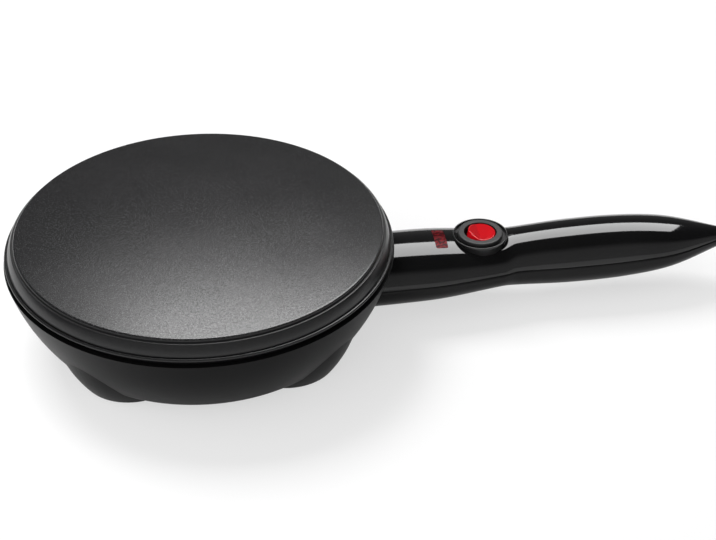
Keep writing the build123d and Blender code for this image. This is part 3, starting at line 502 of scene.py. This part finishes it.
lens_low, lens_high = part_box("lamp_lens")
window_gap = 0.1 * MM
window_round = 1.07 * MM
window_foot, window_top = 28 * MM, 50 * MM
window_x = (lens_high.x + lens_low.x) / 2
corner_x = (lens_high.x - lens_low.x) / 2 + window_gap - window_round
corner_y = lens_high.y + window_gap - window_round
outline = []
for quarter, (sx, sy) in enumerate(((1, 1), (-1, 1), (-1, -1), (1, -1))):
    corner = (window_x + sx * corner_x, sy * corner_y)
    outline += arc_points(corner, window_round, 90 * quarter, 90 * quarter + 90, steps=8)
window = bmesh.new()
foot_ring = [window.verts.new((x, y, window_foot)) for x, y in outline]
top_ring = [window.verts.new((x, y, window_top)) for x, y in outline]
window.faces.new(foot_ring)
window.faces.new(top_ring)
join_rings(window, foot_ring, top_ring)
carve(upper_shell, finished_piece("window_hole", window), "DIFFERENCE")

joint_reaches = (112 * MM, 178 * MM, 240 * MM)
pillar_radius = 3.7 * MM
pillar_clearance = 0.1 * MM
head_room = 2.9 * MM
shank_room = 1.6 * MM
grip_radius = 1.3 * MM
joint_screw_length = 12 * MM
joint_grip_share = 0.6
for reach in joint_reaches:
    joint_place = (plate_x + reach, 0)
    seam = axis_z(reach) + seam_rise
    head_seat = seam - joint_screw_length / 2
    lower_bore = [
        (0, 0),
        (head_room, 0),
        (head_room, head_seat),
        (shank_room, head_seat),
        (shank_room, seam),
        (0, seam),
    ]
    grip_end = seam + joint_screw_length * joint_grip_share
    upper_bore = cylinder_outline(grip_radius, seam - MM, grip_end)
    for shell, side, bore in ((upper_shell, 1, upper_bore), (lower_shell, -1, lower_bore)):
        near = seam + side * (seam_half_gap + pillar_clearance)
        far = axis_z(reach) + side * (half_size(reach, 2) - handle_wall / 2)
        pillar = cylinder_outline(pillar_radius, near, far)
        carve(shell, turned_tool("joint_pillar", pillar, joint_place, boss_segments), "UNION")
        carve(shell, turned_tool("joint_bore", bore, joint_place, boss_segments), "DIFFERENCE")
smooth_shade(upper_shell.data)
smooth_shade(lower_shell.data)

gloss_black = (0.004, 0.004, 0.0042)
cup_painted_sheen_black = (0.008, 0.008, 0.0084)
gloss_plastic = moulded_finish(
    "gloss_black_moulding", gloss_black, roughness=0.07, grain=260.0, depth=0.01 * MM, specular=0.43
)
# The cup's top is the same gloss black plastic. This rougher copy has a lighter base colour, which is a
# painted sheen for the light reflected there.
satin_and_painted_sheen_plastic = moulded_finish(
    "satin_painted_sheen_moulding", cup_painted_sheen_black, roughness=0.3, grain=1500.0, depth=0.01 * MM
)
under_plastic = moulded_finish(
    "under_handle_moulding", gloss_black, roughness=0.22, grain=900.0, depth=0.01 * MM, specular=0.15
)
for shell, cad_node, finish in (
    (upper_shell, "handle_upper_shell", gloss_plastic),
    (lower_shell, "handle_lower_shell", under_plastic),
):
    shell.data.materials.clear()
    shell.data.materials.append(finish)
    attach(shell, "body")
    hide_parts(cad_node)
# Faces of the cup's top above the handle's crown get the lighter copy, a painted sheen.
upper_shell.data.materials.append(satin_and_painted_sheen_plastic)
cup_edge = cup_radius + 0.1 * MM
above_crown = 0.02 * MM
for face in upper_shell.data.polygons:
    reach = face.center.x - plate_x
    crown = 1 - (face.center.y / half_size(reach, 1)) ** 2
    crown_z = axis_z(reach) + half_size(reach, 2) * sqrt(max(crown, 0))
    from_switch = sqrt((face.center.x - switch_x) ** 2 + face.center.y**2)
    if from_switch < cup_edge and face.center.z > crown_z + above_crown:
        face.material_index = 1

# ------------------------------------------------------------------ switch
# A bought round rocker switch, snapped into the cup: matte housing, and a red rocker moulded in
# clear-tinted plastic that turns on two cross pins.
bezel_grey = (0.014, 0.014, 0.0145)
bezel_plastic = moulded_finish(
    "matte_grey_moulding", bezel_grey, roughness=0.42, grain=2600.0, depth=0.03 * MM, specular=0.35
)
dress(bezel_plastic, "switch_housing")

pivot_height = 38.2 * MM
pivot = Vector((switch_x, 0, pivot_height))
rocker_tilt = radians(10)
rocker_half_length = 7.2 * MM
rocker_half_width = 8.1 * MM
valley_height = 4.5 * MM
valley_place = -1.8 * MM
valley_softness = 0.05 * MM
skirt_drop = 3.4 * MM
button_wall = 1.4 * MM
button_edge = 0.09
button_steps = 96
facet_rings = 20
edge_rings = 6
pin_radius = 1.5 * MM
pin_reach = 9.45 * MM
pin_steps = 24
crown_fold_angle = 40


def rocker_place(x, y, z):
    """A point of the rocker from its own level frame to its rest tilt about the pins."""
    tilted_x = x * cos(rocker_tilt) + z * sin(rocker_tilt)
    tilted_z = z * cos(rocker_tilt) - x * sin(rocker_tilt)
    return pivot + Vector((tilted_x, y, tilted_z))


def rocker_crown(share, turn):
    """A point of the two-facet crown, its outer edge rounded over."""
    x = rocker_half_length * share * cos(turn)
    y = rocker_half_width * share * sin(turn)
    from_valley = sqrt((x - valley_place) ** 2 + valley_softness**2)
    rise = from_valley * sin(rocker_tilt) / cos(rocker_tilt)
    past = max(0, (share - 1 + button_edge) / button_edge)
    drop = button_edge * rocker_half_length * (1 - sqrt(max(0, 1 - past**2)))
    return rocker_place(x, y, valley_height + rise - drop)


button = bmesh.new()
button_turns = full_turn(button_steps)
shares = [n / facet_rings * (1 - button_edge) for n in range(1, facet_rings + 1)]
for n in range(1, edge_rings + 1):
    shares.append(1 - button_edge + button_edge * sin(pi / 2 * n / edge_rings))
centre_point = button.verts.new(rocker_crown(0, 0))
rings = [[button.verts.new(rocker_crown(share, a)) for a in button_turns] for share in shares]
for inset, height in ((0, -skirt_drop), (button_wall, -skirt_drop), (button_wall, valley_height / 2)):
    length, width = rocker_half_length - inset, rocker_half_width - inset
    spots = [rocker_place(length * cos(a), width * sin(a), height) for a in button_turns]
    rings.append([button.verts.new(spot) for spot in spots])
for n in range(button_steps):
    button.faces.new((centre_point, rings[0][n], rings[0][(n + 1) % button_steps]))
for lower, upper in zip(rings, rings[1:]):
    join_rings(button, lower, upper)
button.faces.new(rings[-1])
for side in (-1, 1):
    ends = []
    for reach in (rocker_half_width - button_wall, pin_reach):
        turned = [(pin_radius * cos(a), side * reach, pin_radius * sin(a)) for a in full_turn(pin_steps)]
        ends.append([button.verts.new(rocker_place(*spot)) for spot in turned])
    join_rings(button, *ends)
    button.faces.new(ends[0])
    button.faces.new(ends[1])
rocker_cap = finished_piece("rocker_cap", button, angle=crown_fold_angle)

red_plastic, surface, node, feed = new_finish("clear_red_moulding")
swirl = noise(node, scale=90.0, detail=2.0)
feed("Base Color", blend_colours(node, swirl, (0.42, 0.002, 0.006), (0.56, 0.004, 0.010)))
surface["Roughness"].default_value = 0.14
surface["Specular IOR Level"].default_value = 0.3
surface["Subsurface Weight"].default_value = 0.25
surface["Subsurface Radius"].default_value = (0.004, 0.0005, 0.0004)
surface["Subsurface Scale"].default_value = 0.6
feed("Normal", bump(node, swirl, strength=0.15, depth=0.1 * MM))
rocker_cap.data.materials.append(red_plastic)
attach(rocker_cap, "rocker")
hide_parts("rocker_button")

# ------------------------------------------------------------------ indicator lamp
# A dark red acrylic window, ribbed on its inside, pressed into the handle's crown over a neon
# lamp in its holder. Holder, rocker plunger and terminal block are moulded in plain nylon.
lens_acrylic, surface, node, feed = new_finish("ribbed_red_acrylic")
place = node("ShaderNodeTexCoord").outputs["Object"]
waves = {"Vector": place, "Scale": 90.0, "Distortion": 14.0, "Detail": 2.0, "Detail Scale": 3.0}
ribs = node("ShaderNodeTexWave", waves, bands_direction="Y").outputs["Fac"]
feed("Base Color", blend_colours(node, ribs, (0.020, 0.001, 0.002), (0.16, 0.005, 0.009)))
surface["Roughness"].default_value = 0.3
surface["Specular IOR Level"].default_value = 0.05
feed("Normal", bump(node, ribs, strength=0.3, depth=0.2 * MM))
dress(lens_acrylic, "lamp_lens")
nylon = moulded_finish(
    "natural_nylon", (0.62, 0.60, 0.54), roughness=0.5, grain=700.0, depth=0.03 * MM
)
dress(nylon, "lamp_holder", "rocker_plunger", "terminal_block")
lamp_glass, surface, node, feed = new_finish("lamp_glass")
haze = noise(node, scale=250.0, detail=2.0)
feed("Base Color", blend_colours(node, haze, (0.75, 0.62, 0.5), (0.95, 0.9, 0.85)))
surface["Roughness"].default_value = 0.05
surface["Transmission Weight"].default_value = 0.85
dress(lamp_glass, "neon_lamp")

# ------------------------------------------------------------------ screws
# Plated steel screws with a cross recess: four through the feet, three along the handle, two at
# its root and two at the thermostat. All are driven from below.
root_screw_reach = 71 * MM
root_screw_spread = 8 * MM
bracket_screw_reach = 12.4 * MM
head_facets, shank_facets = 40, 24
# The cross recess: length and width as shares of the head's radius, depth of its height.
slot_length, slot_width, slot_depth = 1.15, 0.26, 1.1


def screw_tree(name):
    """Geometry Nodes that set one cross-recessed screw, head down, on each point of a mesh."""
    tree = bpy.data.node_groups.new(name, "GeometryNodeTree")
    tree.interface.new_socket("Places", in_out="INPUT", socket_type="NodeSocketGeometry")
    for label in ("Head radius", "Head height", "Shank radius", "Shank length"):
        tree.interface.new_socket(label, in_out="INPUT", socket_type="NodeSocketFloat")
    tree.interface.new_socket("Finish", in_out="INPUT", socket_type="NodeSocketMaterial")
    tree.interface.new_socket("Screws", in_out="OUTPUT", socket_type="NodeSocketGeometry")
    add = partial(add_node, tree)
    given = add("NodeGroupInput").outputs
    head_radius, head_height = given["Head radius"], given["Head height"]
    shank_radius, shank_length = given["Shank radius"], given["Shank length"]

    def times(value, factor):
        return add("ShaderNodeMath", {0: value, 1: factor}, operation="MULTIPLY").outputs[0]

    def raised(geometry, height):
        offset = add("ShaderNodeCombineXYZ", {"Z": height}).outputs[0]
        return add("GeometryNodeTransform", {"Geometry": geometry, "Translation": offset}).outputs[0]

    def cylinder(vertices, radius, depth):
        sizes = {"Vertices": vertices, "Radius": radius, "Depth": depth}
        return add("GeometryNodeMeshCylinder", sizes).outputs["Mesh"]

    head = raised(cylinder(head_facets, head_radius, head_height), times(head_height, 0.5))
    half_shank = times(shank_length, 0.5)
    shank_middle = add("ShaderNodeMath", {0: half_shank, 1: head_height}, operation="ADD").outputs[0]
    shank = raised(cylinder(shank_facets, shank_radius, shank_length), shank_middle)
    arm_sizes = {
        "X": times(head_radius, slot_length),
        "Y": times(head_radius, slot_width),
        "Z": times(head_height, slot_depth),
    }
    arm = add("ShaderNodeCombineXYZ", arm_sizes).outputs[0]
    slot = add("GeometryNodeMeshCube", {"Size": arm}).outputs["Mesh"]
    crossed = add("GeometryNodeTransform", {"Geometry": slot, "Rotation": (0, 0, pi / 2)}).outputs[0]
    recessed = add("GeometryNodeMeshBoolean", {"Mesh 1": head}, operation="DIFFERENCE", solver="EXACT")
    screw = add("GeometryNodeJoinGeometry")
    for source, socket in (
        (slot, recessed.inputs["Mesh 2"]),
        (crossed, recessed.inputs["Mesh 2"]),
        (recessed.outputs["Mesh"], screw.inputs[0]),
        (shank, screw.inputs[0]),
    ):
        tree.links.new(source, socket)
    on_points = {"Points": given["Places"], "Instance": screw.outputs[0]}
    placed = add("GeometryNodeInstanceOnPoints", on_points).outputs[0]
    real = add("GeometryNodeRealizeInstances", {"Geometry": placed}).outputs[0]
    finished = add("GeometryNodeSetMaterial", {"Geometry": real, "Material": given["Finish"]}).outputs[0]
    add("NodeGroupOutput", {0: finished})
    return tree


def metal_finish(name, first, second, roughness, stains):
    """Plain metal with faint stains and fine drawn marks."""
    material, surface, node, feed = new_finish(name)
    stain = noise(node, scale=stains, detail=4.0)
    fine = noise(node, scale=2500.0, detail=2.0)
    feed("Base Color", blend_colours(node, stain, first, second))
    surface["Metallic"].default_value = 1.0
    feed("Roughness", rescale(node, stain, (0.3, 0.7), (roughness * 0.8, roughness * 1.25)))
    feed("Normal", bump(node, fine, strength=0.2, depth=0.02 * MM))
    return material


plated_steel = metal_finish(
    "plated_steel", (0.55, 0.54, 0.50), (0.68, 0.67, 0.64), roughness=0.3, stains=120.0
)
dress(plated_steel, "element_terminals", "thermostat_bracket", "fuse_clip", "plunger_spring")
screw_maker = screw_tree("cross_recessed_screws")
joint_places = [(plate_x + reach, 0) for reach in joint_reaches]
root_places = [(plate_x + root_screw_reach, side * root_screw_spread) for side in (1, -1)]
bracket_places = [(plate_x + side * bracket_screw_reach, 0) for side in (1, -1)]
# Each set's CAD node, places, head radius, head height and shank radius in millimetres.
screw_sets = {
    "foot_screws": ("clamp_screws", clamp_places, 3.6, 2.6, 1.9),
    "handle_joint_screws": ("handle_screws", joint_places, 2.6, 2.0, 1.3),
    "handle_root_fixings": ("handle_root_screws", root_places, 2.6, 2.0, 1.3),
    "thermostat_fixings": ("bracket_screws", bracket_places, 2.7, 1.8, 1.4),
}
for name, (cad_node, places, head_radius, head_height, shank_radius) in screw_sets.items():
    low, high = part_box(cad_node)
    heights = [low.z] * len(places)
    if name == "handle_joint_screws":
        head_foot = seam_rise - joint_screw_length / 2 - head_height * MM
        heights = [axis_z(reach) + head_foot for reach in joint_reaches]
        low.z = heights[-1]
    points = bpy.data.meshes.new(name)
    points.from_pydata([(x, y, z) for (x, y), z in zip(places, heights)], [], [])
    screws = bpy.data.objects.new(name, points)
    scene_objects.link(screws)
    maker = screws.modifiers.new("screws", "NODES")
    maker.node_group = screw_maker
    given = {
        "Head radius": head_radius * MM,
        "Head height": head_height * MM,
        "Shank radius": shank_radius * MM,
        "Shank length": high.z - low.z - head_height * MM,
        "Finish": plated_steel,
    }
    for socket in screw_maker.interface.items_tree:
        if socket.name in given:
            maker[socket.identifier] = given[socket.name]
    bpy.context.view_layer.update()
    evaluated = screws.evaluated_get(bpy.context.evaluated_depsgraph_get())
    made = bpy.data.meshes.new_from_object(evaluated)
    screws.modifiers.clear()
    screws.data = made
    smooth_shade(made)
    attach(screws, "body")
    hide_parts(cad_node)

# ------------------------------------------------------------------ heater and its guards
# A sheathed element in the plate's groove, tinted by heat, above a mill-finish sheet shield.
# The disc thermostat and the thermal fuse sit on the plate's underside.
heated_steel = metal_finish(
    "heat_tinted_steel", (0.10, 0.075, 0.06), (0.34, 0.28, 0.25), roughness=0.42, stains=60.0
)
dress(heated_steel, "heating_element")
mill_sheet = metal_finish(
    "mill_aluminium", (0.70, 0.70, 0.71), (0.82, 0.82, 0.83), roughness=0.34, stains=80.0
)
dress(mill_sheet, "heat_shield", "thermal_fuse")
phenolic = moulded_finish(
    "brown_phenolic", (0.16, 0.07, 0.035), roughness=0.45, grain=600.0, depth=0.04 * MM
)
dress(phenolic, "thermostat")

# ------------------------------------------------------------------ contacts and wires
# Brass knife edge, contacts and see-saw lever in the switch, and the insulated mains wires that
# join terminal block, switch, thermostat and element.
brass = metal_finish(
    "contact_brass", (0.52, 0.36, 0.13), (0.70, 0.52, 0.22), roughness=0.28, stains=150.0
)
dress(brass, "switch_terminals", "contact_lever")
brown_sleeve = moulded_finish(
    "brown_insulation", (0.12, 0.045, 0.015), roughness=0.4, grain=800.0, depth=0.02 * MM
)
dress(brown_sleeve, "live_wire", "switched_wire")
blue_sleeve = moulded_finish(
    "blue_insulation", (0.015, 0.06, 0.25), roughness=0.4, grain=800.0, depth=0.02 * MM
)
dress(blue_sleeve, "neutral_wire")

# ------------------------------------------------------------------ studio
# A white paper sweep, lit by a key behind the object and by a soft fill from the front left. Two
# softboxes show only in reflections, in a room that is light in front and dark overhead.
floor_half_size = 6.0
fill_toward = (-0.6, -0.7, 0.39)
lamp_distance = 1.6
lamp_aim = Vector((0, 0, 0.03))


def grey(tone):
    """A neutral colour."""
    return (tone, tone, tone, 1)


floor_mesh = bpy.data.meshes.new("sweep")
floor_shape = bmesh.new()
bmesh.ops.create_grid(floor_shape, x_segments=1, y_segments=1, size=floor_half_size)
floor_shape.to_mesh(floor_mesh)
floor_shape.free()
sweep = bpy.data.objects.new("sweep", floor_mesh)
scene_objects.link(sweep)
paper = bpy.data.materials.new("white_paper")
paper.use_nodes = True
paper.node_tree.nodes.clear()
add = partial(add_node, paper.node_tree)
matte = add("ShaderNodeBsdfDiffuse", {"Color": grey(0.85)}).outputs[0]
white = add("ShaderNodeEmission", {"Color": grey(1), "Strength": 1.0}).outputs[0]
rays = add("ShaderNodeLightPath").outputs
white_share = 0.0
for kind, share in (("Is Camera Ray", 0.6), ("Is Glossy Ray", 0.2), ("Is Transmission Ray", 0.2)):
    links = {0: rays[kind], 1: share, 2: white_share}
    white_share = add("ShaderNodeMath", links, operation="MULTIPLY_ADD").outputs[0]
lit_paper = add("ShaderNodeMixShader", {0: white_share, 1: matte, 2: white}).outputs[0]
add("ShaderNodeOutputMaterial", {"Surface": lit_paper})
floor_mesh.materials.append(paper)

world = bpy.data.worlds.new("studio")
bpy.context.scene.world = world
world.use_nodes = True
world.node_tree.nodes.clear()
add = partial(add_node, world.node_tree)
direction = add("ShaderNodeTexCoord").outputs["Generated"]
axes = add("ShaderNodeSeparateXYZ", {0: direction}).outputs
forward = add("ShaderNodeMath", {0: axes["Y"], 1: -1.0}, operation="MULTIPLY").outputs[0]
climb = add("ShaderNodeMath", {0: axes["Z"], 1: forward}, operation="ARCTAN2").outputs[0]
half_turns = add("ShaderNodeMath", {0: climb, 1: pi}, operation="DIVIDE").outputs[0]
mirrored_tones = add("ShaderNodeValToRGB", {"Fac": half_turns})
stops = mirrored_tones.color_ramp.elements
stops[0].color, stops[1].color = grey(0.5), grey(0.16)
for position, tone in ((0.22, 0.42), (0.32, 0.03), (0.55, 0.03), (0.8, 0.1)):
    stops.new(position).color = grey(tone)
mirrored = add("ShaderNodeBackground", {"Color": mirrored_tones.outputs["Color"]}).outputs[0]
facing_fill = add("ShaderNodeVectorMath", {0: direction, 1: fill_toward}, operation="DOT_PRODUCT")
fill = rescale(add, facing_fill.outputs["Value"], (0.1, 1.0), (0.1, 1.7))
ambient = add("ShaderNodeBackground", {"Color": grey(1), "Strength": fill}).outputs[0]
backdrop = add("ShaderNodeBackground", {"Color": grey(1)}).outputs[0]
rays = add("ShaderNodeLightPath").outputs
room = add("ShaderNodeMixShader", {0: rays["Is Glossy Ray"], 1: ambient, 2: mirrored}).outputs[0]
seen = add("ShaderNodeMixShader", {0: rays["Is Camera Ray"], 1: room, 2: backdrop}).outputs[0]
add("ShaderNodeOutputWorld", {"Surface": seen})

# Each lamp's place across, elevation in degrees, width, height and brightness.
for name, middle_x, elevation, width, height, tone in (
    ("plate_softbox", -0.16, 45.5, 0.55, 0.3, 1.4),
    ("handle_softbox", 0.51, 64.3, 1.54, 1.0, 10.0),
    ("rear_key", -0.6, 62, 0.8, 0.8, 14.0),
):
    lamp = bpy.data.lights.new(name, "AREA")
    lamp.shape = "RECTANGLE"
    lamp.size = width
    lamp.size_y = height
    lamp.energy = tone * pi * width * height
    lamp_head = bpy.data.objects.new(name, lamp)
    scene_objects.link(lamp_head)
    away = Vector((0, cos(radians(elevation)), sin(radians(elevation))))
    lamp_head.location = lamp_aim + Vector((middle_x, 0, 0)) + away * lamp_distance
    lamp_head.rotation_mode = "QUATERNION"
    lamp_head.rotation_quaternion = away.to_track_quat("Z", "Y")
    lamp_head.visible_glossy = name != "rear_key"
    lamp_head.visible_diffuse = name == "rear_key"

# ------------------------------------------------------------------ camera
# Looks down on the plate from its front, slightly from the left of the handle's side.
camera_place = (-0.1191, -0.7577, 0.56576)
camera_turn = 8.3
camera_pitch = 35.236
sensor_width = 36
focal_pixels = 1768.1
frame_pixels = 716
near_clip = 0.05
camera_data = bpy.data.cameras.new("camera")
camera = bpy.data.objects.new("camera", camera_data)
scene_objects.link(camera)
bpy.context.scene.camera = camera
camera_data.sensor_width = sensor_width
camera_data.lens = sensor_width * focal_pixels / frame_pixels
camera_data.clip_start = near_clip
camera.location = camera_place
camera.rotation_mode = "XYZ"
camera.rotation_euler = (radians(90 - camera_pitch), 0, radians(-camera_turn))

bpy.context.scene.view_settings.view_transform = "Standard"
